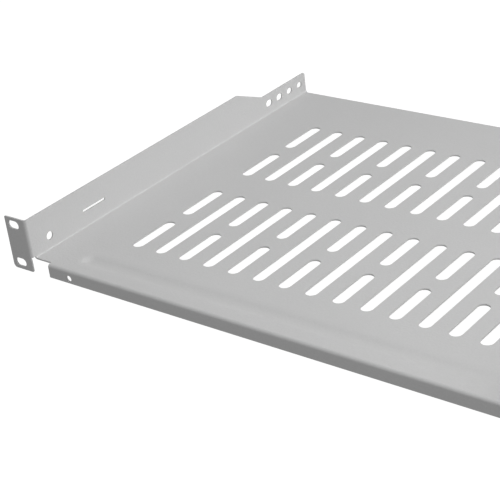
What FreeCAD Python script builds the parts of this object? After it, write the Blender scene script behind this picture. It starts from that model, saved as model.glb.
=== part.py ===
import FreeCAD, Part
import math
import os
from FreeCAD import Vector

os.makedirs("parts", exist_ok=True)

# A cantilever shelf for a 19-inch rack, one unit high: one sheet of steel, pierced and folded.
# Its base carries the equipment, side walls stiffen it, ears bolt to the front posts of the
# rack, and a lip at the front and a flange at the rear fold down.
# Millimetres. X runs across, Y to the rear, Z up. The origin is the middle of the four slots
# in the ears, on the plane where the ears meet the posts.

# Sheet
sheet = 1.2
bend_inside = 1.2

# Ears and their slots, as the rack standard spaces them
overall_width = 482.6
ear_height = 43.6
ear_slot_edge = 8.75
ear_slot_rise = 31.75
ear_slot_length = 11.0
ear_slot_width = 6.8
ear_top_radius = 1.0
ear_foot_radius = 3.2
ear_inner_radius = 0.8
ear_relief = 0.8

# Tray, with depths measured from the front face of the ears
body_width = 441.0
shelf_depth = 351.2
lip_drop = 10.9
flange_drop = 10.9
lip_inset = 16.3
notch_depth = 4.0
rear_relief_width = 1.5
rear_relief_extra = 0.6

# Side walls, with heights measured from the top of the base. The step down, like the row of
# holes behind it, is placed from the rear edge, so that both stay there on a deeper shelf.
rear_wall_height = 18.5
step_start_inset = 95.3
step_end_inset = 62.6
step_crest_radius = 4.0
step_foot_radius = 3.0
rear_corner_radius = 2.3

# Openings in the side walls, with the rear row shrinking evenly from its first to its last
wall_hole_diameter = 6.6
wall_hole_depth = 21.5
wall_hole_height = 10.5
strap_slot_length = 25.4
strap_slot_width = 2.1
strap_slot_depth = 71.4
strap_slot_height = 13.4
rear_hole_count = 4
rear_hole_first_length = 8.6
rear_hole_first_width = 6.1
rear_hole_last_length = 6.6
rear_hole_last_width = 5.2
rear_hole_inset = 54.0
rear_hole_pitch = 15.0
rear_hole_height = 9.7

# Hole near each end of the front lip
lip_hole_diameter = 5.0
lip_hole_inset = 36.9
lip_hole_drop = 6.9

# Vent slots in the base: two fields of columns, in turn a pair of short slots and a long one
vent_columns = 15
vent_pitch = 23.0
vent_width = 9.6
vent_short_length = 44.2
vent_short_gap = 14.2
vent_field_starts = [51.5, 185.7]

# Stiffening bead pressed into the base behind the lip
bead_depth = 2.0
bead_width = 20.4
bead_centre = 20.2
bead_inset = 31.6

# Planes and edges that follow from the sizes above
bend_outside = bend_inside + sheet
front = -sheet
rear = front + shelf_depth
base_top = lip_drop - ear_height / 2
base_bottom = base_top - sheet
wall_top = ear_height / 2
wall_outside = body_width / 2
wall_inside = wall_outside - sheet
lip_half = wall_inside - lip_inset
fold_front = front + bend_outside
fold_rear = rear - bend_outside


def line(start, end):
    return Part.LineSegment(start, end).toShape()


def arc(centre, radius, start_degrees, end_degrees, across, up):
    """Edge of a circle in the plane of two unit vectors, swept from start to end."""
    points = []
    for degrees in (start_degrees, (start_degrees + end_degrees) / 2, end_degrees):
        angle = math.radians(degrees)
        points.append(centre + across * (radius * math.cos(angle)) + up * (radius * math.sin(angle)))
    return Part.Arc(*points).toShape()


def face_of(edges):
    return Part.Face(Part.Wire(Part.__sortEdges__(edges)))


def ends(edge):
    return edge.Vertexes[0].Point, edge.Vertexes[-1].Point


def rounded_outline(corners):
    """Face inside straight sides, with each corner given as a point and the radius of its arc."""
    count = len(corners)
    edges = []
    tangents = []
    for index, (point, radius) in enumerate(corners):
        before = (corners[index - 1][0] - point).normalize()
        after = (corners[(index + 1) % count][0] - point).normalize()
        if radius == 0:
            tangents.append((point, point))
            continue
        half_angle = before.getAngle(after) / 2
        reach = radius / math.tan(half_angle)
        bisector = (before + after).normalize()
        middle = point + bisector * (radius / math.sin(half_angle) - radius)
        tangents.append((point + before * reach, point + after * reach))
        edges.append(Part.Arc(tangents[-1][0], middle, tangents[-1][1]).toShape())
    for index in range(count):
        edges.append(line(tangents[index][1], tangents[(index + 1) % count][0]))
    return face_of(edges)


def obround_cutter(centre, length, width, along, axis, reach):
    """Prism with round ends that pierces the sheet, from reach before the centre to reach past it."""
    across = axis.cross(along)
    half = (length - width) / 2
    radius = width / 2
    start = centre - axis * reach
    left = start - along * half
    right = start + along * half
    edges = [arc(right, radius, -90, 90, along, across), arc(left, radius, 90, 270, along, across)]
    if half > 0:
        edges.append(line(left + across * radius, right + across * radius))
        edges.append(line(left - across * radius, right - across * radius))
    return face_of(edges).extrude(axis * (2 * reach))


def round_cutter(centre, diameter, axis, reach):
    return Part.makeCylinder(diameter / 2, 2 * reach, centre - axis * reach, axis)


def folded_channel():
    """Base and both side walls: a channel section with rounded folds, extruded to the rear."""
    x_axis = Vector(1, 0, 0)
    z_axis = Vector(0, 0, 1)
    fold_height = base_top + bend_inside
    fold_x = wall_inside - bend_inside
    edges = []
    for side in (-1, 1):
        centre = Vector(side * fold_x, fold_front, fold_height)
        outward = x_axis * side
        for radius in (bend_inside, bend_outside):
            edges.append(arc(centre, radius, -90, 0, outward, z_axis))
        for x in (wall_inside, wall_outside):
            foot = Vector(side * x, fold_front, fold_height)
            edges.append(line(foot, Vector(side * x, fold_front, wall_top)))
        edges.append(line(Vector(side * wall_inside, fold_front, wall_top),
                          Vector(side * wall_outside, fold_front, wall_top)))
    for z in (base_top, base_bottom):
        edges.append(line(Vector(-fold_x, fold_front, z), Vector(fold_x, fold_front, z)))
    return face_of(edges).extrude(Vector(0, rear - fold_front, 0))


def wall_outline():
    """Side view of the walls, with the step down towards the rear, extruded right across."""
    low = base_bottom - lip_drop
    step_top = base_top + rear_wall_height
    corners = [
        (Vector(-wall_outside, fold_front, low), 0),
        (Vector(-wall_outside, rear, low), 0),
        (Vector(-wall_outside, rear, step_top), rear_corner_radius),
        (Vector(-wall_outside, rear - step_end_inset, step_top), step_foot_radius),
        (Vector(-wall_outside, rear - step_start_inset, wall_top), step_crest_radius),
        (Vector(-wall_outside, fold_front, wall_top), 0),
    ]
    return rounded_outline(corners).extrude(Vector(body_width, 0, 0))


def folded_edge(face_y, fold_y, inward, drop, half_length):
    """Lip or flange that folds down from the base: its section in side view, extruded across."""
    y_axis = Vector(0, 1, 0)
    z_axis = Vector(0, 0, 1)
    centre = Vector(-half_length, fold_y, base_top - bend_outside)
    outward = y_axis * -inward
    inner_y = face_y + inward * sheet
    bottom = base_top - drop
    edges = [arc(centre, radius, 0, 90, outward, z_axis) for radius in (bend_inside, bend_outside)]
    edges.append(line(Vector(-half_length, fold_y, base_top), Vector(-half_length, fold_y, base_bottom)))
    edges.append(line(Vector(-half_length, face_y, centre.z), Vector(-half_length, face_y, bottom)))
    edges.append(line(Vector(-half_length, inner_y, centre.z), Vector(-half_length, inner_y, bottom)))
    edges.append(line(Vector(-half_length, face_y, bottom), Vector(-half_length, inner_y, bottom)))
    return face_of(edges).extrude(Vector(2 * half_length, 0, 0))


def ear(side):
    """Ear on one side: its outline as seen from the front, and the fold that joins it to the wall."""
    x_axis = Vector(side, 0, 0)
    y_axis = Vector(0, 1, 0)
    fold_x = wall_outside + bend_inside
    wall_foot = base_top + bend_inside
    slit = wall_foot - ear_relief
    low = -ear_height / 2
    edge_x = overall_width / 2
    corners = [
        (Vector(side * fold_x, front, wall_top), 0),
        (Vector(side * edge_x, front, wall_top), ear_top_radius),
        (Vector(side * edge_x, front, low), ear_foot_radius),
        (Vector(side * wall_outside, front, low), ear_inner_radius),
        (Vector(side * wall_outside, front, slit), 0),
        (Vector(side * fold_x, front, slit), 0),
    ]
    flat = rounded_outline(corners).extrude(Vector(0, sheet, 0))
    centre = Vector(side * fold_x, fold_front, wall_foot)
    section = [arc(centre, radius, 180, 270, x_axis, y_axis) for radius in (bend_inside, bend_outside)]
    section.append(line(ends(section[0])[0], ends(section[1])[0]))
    section.append(line(ends(section[0])[1], ends(section[1])[1]))
    return flat.fuse(face_of(section).extrude(Vector(0, 0, wall_top - wall_foot)))


def front_notch(side):
    """Relief between an ear and the lip, where the folds of wall, ear and lip would meet."""
    start_x = lip_half
    far_x = wall_outside + bend_inside
    low = base_bottom - lip_drop
    box = Part.makeBox(far_x - start_x, notch_depth + sheet, base_top + bend_inside - low,
                       Vector(start_x, front - sheet, low))
    if side < 0:
        box = box.mirror(Vector(0, 0, 0), Vector(1, 0, 0))
    return box


def rear_relief(side):
    """Narrow slit between the fold of a wall and the end of the rear flange."""
    inner_x = wall_inside - bend_inside - rear_relief_width
    depth = bend_outside + rear_relief_extra
    box = Part.makeBox(rear_relief_width, depth, sheet, Vector(inner_x, rear - depth, base_bottom))
    if side < 0:
        box = box.mirror(Vector(0, 0, 0), Vector(1, 0, 0))
    return box


def bead_section(centre_x, centre_y, across):
    """Half of the bead's section, from its middle to its edge, made of two arcs that meet halfway.

    The sheet keeps its thickness, so the arcs of its upper and lower faces share their centres."""
    z_axis = Vector(0, 0, 1)
    half_width = bead_width / 2
    middle_radius = (half_width ** 2 + bead_depth ** 2) / (4 * bead_depth)
    turn = 2 * math.degrees(math.atan(bead_depth / half_width))
    middle = Vector(centre_x, centre_y, base_top - sheet / 2)
    trough_centre = middle + z_axis * (middle_radius - bead_depth)
    crest_centre = middle + across * half_width - z_axis * middle_radius
    edges = []
    for offset in (-sheet / 2, sheet / 2):
        edges.append(arc(trough_centre, middle_radius + offset, -90, -90 + turn, across, z_axis))
        edges.append(arc(crest_centre, middle_radius - offset, 90, 90 + turn, across, z_axis))
    trough_floor = middle - z_axis * bead_depth
    for point in (trough_floor, middle + across * half_width):
        edges.append(line(point - z_axis * (sheet / 2), point + z_axis * (sheet / 2)))
    return face_of(edges)


def bead():
    """Pressed bead: a straight trough across the base, closed at both ends by half a turn."""
    run_half = wall_inside - bead_inset - bead_width / 2
    centre_y = front + bead_centre
    solids = []
    for across in (Vector(0, 1, 0), Vector(0, -1, 0)):
        half = bead_section(-run_half, centre_y, across)
        solids.append(half.extrude(Vector(2 * run_half, 0, 0)))
    for side in (-1, 1):
        section = bead_section(side * run_half, centre_y, Vector(0, -side, 0))
        solids.append(section.revolve(Vector(side * run_half, centre_y, 0), Vector(0, 0, 1), 180))
    return solids


def bead_opening():
    """Plan outline of the bead, cut out of the flat base before the formed bead takes its place."""
    centre = Vector(0, front + bead_centre, base_top - sheet / 2)
    length = 2 * (wall_inside - bead_inset)
    return obround_cutter(centre, length, bead_width, Vector(1, 0, 0), Vector(0, 0, 1), sheet)


def vent_cutters():
    """Columns of vent slots, centred across the base in both fields."""
    y_axis = Vector(0, 1, 0)
    z_axis = Vector(0, 0, 1)
    long_length = 2 * vent_short_length + vent_short_gap
    first_x = -vent_pitch * (vent_columns - 1) / 2
    cutters = []
    for start in vent_field_starts:
        for column in range(vent_columns):
            if column % 2:
                spans = [(start, long_length)]
            else:
                far_start = start + vent_short_length + vent_short_gap
                spans = [(start, vent_short_length), (far_start, vent_short_length)]
            for near, length in spans:
                centre = Vector(first_x + column * vent_pitch, front + near + length / 2, base_top)
                cutters.append(obround_cutter(centre, length, vent_width, y_axis, z_axis, 2 * sheet))
    return cutters


def wall_cutters(side):
    """Round hole, strap slot and the row of short slots at the rear of one side wall."""
    x_axis = Vector(1, 0, 0)
    y_axis = Vector(0, 1, 0)
    wall_x = side * (wall_inside + sheet / 2)
    hole = Vector(wall_x, front + wall_hole_depth, base_top + wall_hole_height)
    slot = Vector(wall_x, front + strap_slot_depth, base_top + strap_slot_height)
    cutters = [
        round_cutter(hole, wall_hole_diameter, x_axis, sheet),
        obround_cutter(slot, strap_slot_length, strap_slot_width, y_axis, x_axis, sheet),
    ]
    for index in range(rear_hole_count):
        share = index / (rear_hole_count - 1)
        length = rear_hole_first_length + (rear_hole_last_length - rear_hole_first_length) * share
        width = rear_hole_first_width + (rear_hole_last_width - rear_hole_first_width) * share
        y = rear - rear_hole_inset + index * rear_hole_pitch
        centre = Vector(wall_x, y, base_top + rear_hole_height)
        cutters.append(obround_cutter(centre, length, width, y_axis, x_axis, sheet))
    return cutters


def ear_cutters(side):
    """Two slots through an ear, on the rack's spacing."""
    x_axis = Vector(1, 0, 0)
    y_axis = Vector(0, 1, 0)
    cutters = []
    slot_x = overall_width / 2 - ear_slot_edge
    for rise in (-ear_slot_rise / 2, ear_slot_rise / 2):
        centre = Vector(side * slot_x, front + sheet / 2, rise)
        cutters.append(obround_cutter(centre, ear_slot_length, ear_slot_width, x_axis, y_axis, sheet))
    return cutters


def lip_cutter(side):
    centre = Vector(side * (wall_inside - lip_hole_inset), front + sheet / 2, base_top - lip_hole_drop)
    return round_cutter(centre, lip_hole_diameter, Vector(0, 1, 0), sheet)


def folded_shelf():
    channel = folded_channel().common(wall_outline())
    middle_cut = Part.makeBox(2 * (wall_inside - bend_inside), bend_outside, sheet,
                              Vector(bend_inside - wall_inside, fold_rear, base_bottom))
    channel = channel.cut(middle_cut)
    flange_half = wall_inside - bend_inside - rear_relief_width
    shelf = channel.fuse([
        folded_edge(front, fold_front, 1, lip_drop, lip_half),
        folded_edge(rear, fold_rear, -1, flange_drop, flange_half),
    ])
    cutters = [bead_opening()] + vent_cutters()
    for side in (-1, 1):
        cutters += [front_notch(side), rear_relief(side), lip_cutter(side)]
        cutters += wall_cutters(side)
    shelf = shelf.cut(cutters)
    shelf = shelf.fuse([ear(-1), ear(1)] + bead())
    shelf = shelf.cut(ear_cutters(-1) + ear_cutters(1))
    return shelf.removeSplitter()


shelf = folded_shelf()
print("solids", len(shelf.Solids), "faces", len(shelf.Faces), "valid", shelf.isValid())
print("volume", round(shelf.Volume), "box", shelf.BoundBox)
shelf.Solids[0].exportStep("parts/folded_shelf.step")
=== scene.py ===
import math

import bmesh
import bpy
from mathutils import Euler, Matrix, Vector


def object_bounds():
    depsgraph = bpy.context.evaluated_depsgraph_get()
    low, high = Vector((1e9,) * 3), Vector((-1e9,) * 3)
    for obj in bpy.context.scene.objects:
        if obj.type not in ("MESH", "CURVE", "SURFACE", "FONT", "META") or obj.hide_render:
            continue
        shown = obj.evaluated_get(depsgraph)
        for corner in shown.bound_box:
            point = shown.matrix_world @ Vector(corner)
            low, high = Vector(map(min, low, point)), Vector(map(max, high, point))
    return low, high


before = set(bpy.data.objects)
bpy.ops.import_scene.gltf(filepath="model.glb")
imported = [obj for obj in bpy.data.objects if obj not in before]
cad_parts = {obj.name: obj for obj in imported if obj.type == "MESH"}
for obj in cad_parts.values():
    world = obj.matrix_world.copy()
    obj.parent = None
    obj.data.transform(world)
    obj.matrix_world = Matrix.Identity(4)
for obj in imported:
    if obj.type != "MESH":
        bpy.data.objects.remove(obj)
cad_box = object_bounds()


# Folded shelf: one sheet of steel, pierced, pressed with a stiffening bead and folded up at
# the sides and down at the front and rear, with an ear at each front corner. It is powder
# coated light grey all over after folding: a fine orange peel with small pits and specks.
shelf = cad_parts["folded_shelf"]
coat_grey = 0.58
coat_roughness = 0.62
clouds_per_metre = 14.0
peel_size = 0.0016
peel_height = 0.00012
grain_size = 0.0007


class Signal:
    """One output in a material's nodes. Arithmetic on it adds Math nodes."""

    def __init__(self, tree, socket=None):
        self.tree = tree
        self.socket = socket

    def node(self, kind, settings, sockets, output=0):
        """Adds a node, sets it up, fills or links its sockets, and gives the output asked for."""
        made = self.tree.nodes.new(kind)
        for name, value in settings.items():
            if name == "stops":
                for stop, (place, shade) in zip(made.color_ramp.elements, value):
                    stop.position = place
                    stop.color = (shade, shade, shade, 1)
            else:
                setattr(made, name, value)
        for name, value in sockets.items():
            if isinstance(value, Signal):
                self.tree.links.new(value.socket, made.inputs[name])
            else:
                made.inputs[name].default_value = value
        return Signal(self.tree, made.outputs[output])

    def maths(self, operation, first, second):
        return self.node("ShaderNodeMath", {"operation": operation}, {0: first, 1: second})

    def __add__(self, other):
        return self.maths("ADD", self, other)

    def __sub__(self, other):
        return self.maths("SUBTRACT", self, other)

    def __rsub__(self, other):
        return self.maths("SUBTRACT", other, self)

    def __mul__(self, other):
        return self.maths("MULTIPLY", self, other)

    __radd__ = __add__
    __rmul__ = __mul__


def powder_coat():
    """Light grey powder coat: orange peel, fine grit, faint clouds in the colour and sheen."""
    paint = bpy.data.materials.new("powder_coat")
    paint.use_nodes = True
    tree = paint.node_tree
    shader = tree.nodes["Principled BSDF"]
    nodes = Signal(tree)
    place = nodes.node("ShaderNodeTexCoord", {}, {}, "Object")

    def noise(scale, detail, roughness=0.5):
        return nodes.node("ShaderNodeTexNoise", {}, {
            "Vector": place, "Scale": scale, "Detail": detail, "Roughness": roughness})

    clouds = noise(clouds_per_metre, 3.0)
    peel = noise(1 / peel_size, 2.0)
    grain = noise(1 / grain_size, 3.0, 0.6)
    specks = nodes.node("ShaderNodeValToRGB", {"stops": [(0.66, 0.0), (0.74, 1.0)]}, {0: grain})
    grey = coat_grey * (1.0 + 0.05 * (clouds - 0.5) + 0.10 * (peel - 0.5) + 0.06 * (grain - 0.5))
    grey = grey - 0.03 * specks
    colour = nodes.node("ShaderNodeCombineColor", {}, {"Red": grey, "Green": grey, "Blue": grey})
    sheen = coat_roughness + 0.10 * (clouds - 0.5) + 0.16 * (peel - 0.5) + 0.2 * specks
    relief = peel + 0.45 * grain - 0.25 * specks
    bumps = nodes.node("ShaderNodeBump", {}, {
        "Strength": 1.0, "Distance": peel_height, "Height": relief})
    tree.links.new(colour.socket, shader.inputs["Base Color"])
    tree.links.new(sheen.socket, shader.inputs["Roughness"])
    tree.links.new(bumps.socket, shader.inputs["Normal"])
    return paint


coat = powder_coat()
for material_slot in shelf.material_slots:
    material_slot.material = coat


# Floor: a pale, evenly lit table with a white dome over it, as a catalogue picture is taken in.
# Only the camera sees their glow, so the openings in the shelf stay white and the soft light
# alone shapes the sheet.
floor_gap = 0.0005
floor_height = cad_box[0][2] - floor_gap
dome_radius = 9.0
floor_mesh = bmesh.new()
bmesh.ops.create_uvsphere(floor_mesh, u_segments=48, v_segments=24, radius=dome_radius,
                          matrix=Matrix.Translation((0, 0, floor_height)))
whole_ball = floor_mesh.verts[:] + floor_mesh.edges[:] + floor_mesh.faces[:]
bmesh.ops.bisect_plane(floor_mesh, geom=whole_ball, dist=0.0001, plane_co=(0, 0, floor_height),
                       plane_no=(0, 0, 1), clear_inner=True)
rim = [edge for edge in floor_mesh.edges if edge.is_boundary]
bmesh.ops.contextual_create(floor_mesh, geom=rim)
floor_data = bpy.data.meshes.new("floor")
floor_mesh.to_mesh(floor_data)
floor_mesh.free()
floor = bpy.data.objects.new("floor", floor_data)
floor.visible_diffuse = False
floor.visible_glossy = False
floor.visible_shadow = False
bpy.context.scene.collection.objects.link(floor)
glow = bpy.data.materials.new("light_table")
glow.use_nodes = True
glow_shader = glow.node_tree.nodes["Principled BSDF"]
glow_shader.inputs["Base Color"].default_value = (0.05, 0.05, 0.05, 1)
glow_shader.inputs["Emission Color"].default_value = (1, 1, 1, 1)
glow_shader.inputs["Emission Strength"].default_value = 1.0
floor_data.materials.append(glow)


# Studio light: a pale tent that is darker below the horizon, and three large soft boxes. The
# ones at the right and overhead light the side wall and the base. The low one, at the right
# and behind, grazes the base, so that the pressed bead shows.
box_side = 0.7
tent_above = 0.37
tent_below = 0.33
horizon_blend = 0.04


def soft_box(name, place, watts):
    """Square area light that faces the frame's origin, in the middle of the shelf's front."""
    light = bpy.data.lights.new(name, "AREA")
    light.shape = "SQUARE"
    light.size = box_side
    light.energy = watts
    lamp = bpy.data.objects.new(name, light)
    lamp.location = place
    lamp.rotation_mode = "QUATERNION"
    lamp.rotation_quaternion = Vector(place).to_track_quat("Z", "Y")
    bpy.context.scene.collection.objects.link(lamp)


soft_box("soft_box_right", (1.04, -0.13, 0.90), 7.3)
soft_box("soft_box_top", (0.0, 0.15, 1.40), 4.5)
soft_box("soft_box_low", (1.04, 1.02, 0.36), 7.2)

tent = bpy.data.worlds.new("tent")
tent.use_nodes = True
tent_nodes = Signal(tent.node_tree)
direction = tent_nodes.node("ShaderNodeTexCoord", {}, {}, "Generated")
height = tent_nodes.node("ShaderNodeSeparateXYZ", {}, {"Vector": direction}, "Z")
tent_stops = [(0.5 - horizon_blend, tent_below), (0.5 + horizon_blend, tent_above)]
shade = tent_nodes.node("ShaderNodeValToRGB", {"stops": tent_stops}, {0: 0.5 + 0.5 * height})
tent.node_tree.links.new(shade.socket, tent.node_tree.nodes["Background"].inputs["Color"])
bpy.context.scene.world = tent


# Camera: from the front right corner, above, with a long lens. The photograph is one part of a
# wider picture with upright lines; this view keeps its angle without shifting the lens.
camera_place = (0.5516, -0.6270, 0.4905)
camera_degrees = (61.97, 6.601, 37.974)
lens = bpy.data.cameras.new("camera")
lens.sensor_width = 36.0
lens.lens = 105.45
lens.clip_start = 0.02
lens.clip_end = 60.0
camera = bpy.data.objects.new("camera", lens)
camera.location = camera_place
camera.rotation_euler = Euler([math.radians(angle) for angle in camera_degrees])
bpy.context.scene.collection.objects.link(camera)
bpy.context.scene.camera = camera
bpy.context.scene.view_settings.view_transform = "Standard"
